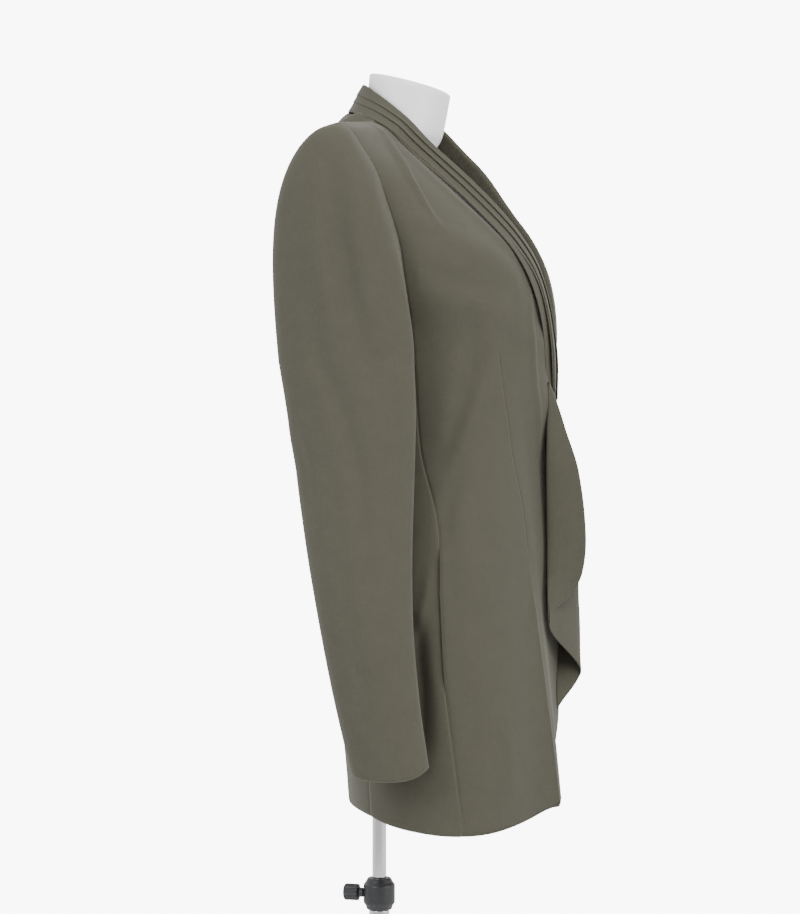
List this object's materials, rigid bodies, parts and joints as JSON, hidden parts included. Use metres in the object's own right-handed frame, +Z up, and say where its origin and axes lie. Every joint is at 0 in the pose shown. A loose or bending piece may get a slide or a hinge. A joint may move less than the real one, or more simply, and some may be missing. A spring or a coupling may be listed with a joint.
{
  "type": "blazer on a dress form",
  "caption": "Long fitted wool blazer with padded shoulders, a stacked shawl collar and a cascade front, on a limbless dress form and stand.",
  "frame": {"origin": "centre of the underside of the stand's base plate, below the pole", "axes": "+Z up along the pole; the blazer faces -Y; the wearer's right side is -X"},
  "size_m": [0.554, 0.4092, 1.4915],
  "materials": {
    "wool": "fine twill wool, soft nap",
    "form_shell": "smooth satin white",
    "pole_metal": "polished",
    "clamp_plastic": "black moulded"
  },
  "bodies": {
    "root": {"front_right": "wool", "side_right": "wool", "back_right": "wool", "top_sleeve_right": "wool", "under_sleeve_right": "wool", "collar_tier_1_right": "wool", "collar_tier_2_right": "wool", "collar_tier_3_right": "wool", "collar_stand_right": "wool", "pocket_facing_right": "wool", "front_left": "wool", "side_left": "wool", "back_left": "wool", "top_sleeve_left": "wool", "under_sleeve_left": "wool", "collar_tier_1_left": "wool", "collar_tier_2_left": "wool", "collar_tier_3_left": "wool", "collar_stand_left": "wool", "pocket_facing_left": "wool", "cascade": "wool", "dress_form": "form_shell", "pole": "pole_metal", "clamp_collar": "clamp_plastic", "clamp_knob": "clamp_plastic", "lower_tube": "pole_metal", "base_plate": "pole_metal"}
  },
  "joints": []
}
